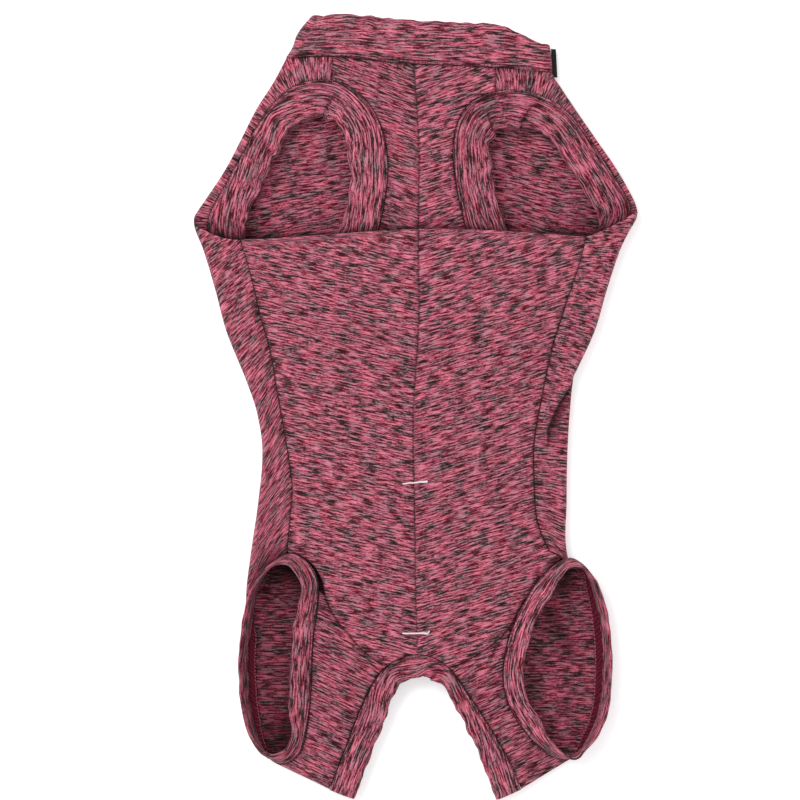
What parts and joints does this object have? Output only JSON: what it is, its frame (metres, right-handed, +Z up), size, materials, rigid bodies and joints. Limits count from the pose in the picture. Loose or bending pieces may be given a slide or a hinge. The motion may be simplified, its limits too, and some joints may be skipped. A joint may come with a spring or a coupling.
{
  "type": "dog recovery suit",
  "caption": "Full-body recovery suit for a dog, stretch knit, laid flat on its back with the belly side up and folded over the chest.",
  "frame": {"origin": "middle of the outline in plan, on the surface that the suit lies on", "axes": "+Y from the rear to the neck, +X to the right as seen from above, +Z up, out of the belly side"},
  "size_m": [0.2746, 0.4856, 0.023],
  "materials": {
    "melange_knit": "matte stretch jersey, space-dyed in bright pink, dusty mauve and charcoal",
    "melange_knit_bands": "the same melange jersey, doubled, with its streaks along the band",
    "label_tape": "plain black woven tape"
  },
  "bodies": {
    "root": {"collar": "melange_knit_bands", "label_tab": "label_tape", "back_panel": "melange_knit", "rear_band": "melange_knit_bands", "chest_left": "melange_knit", "shoulder_left": "melange_knit", "arm_band_left": "melange_knit_bands", "belly_left": "melange_knit", "side_panel_left": "melange_knit", "leg_sleeve_left": "melange_knit", "leg_band_left": "melange_knit_bands", "chest_right": "melange_knit", "shoulder_right": "melange_knit", "arm_band_right": "melange_knit_bands", "belly_right": "melange_knit", "side_panel_right": "melange_knit", "leg_sleeve_right": "melange_knit", "leg_band_right": "melange_knit_bands"}
  },
  "joints": []
}
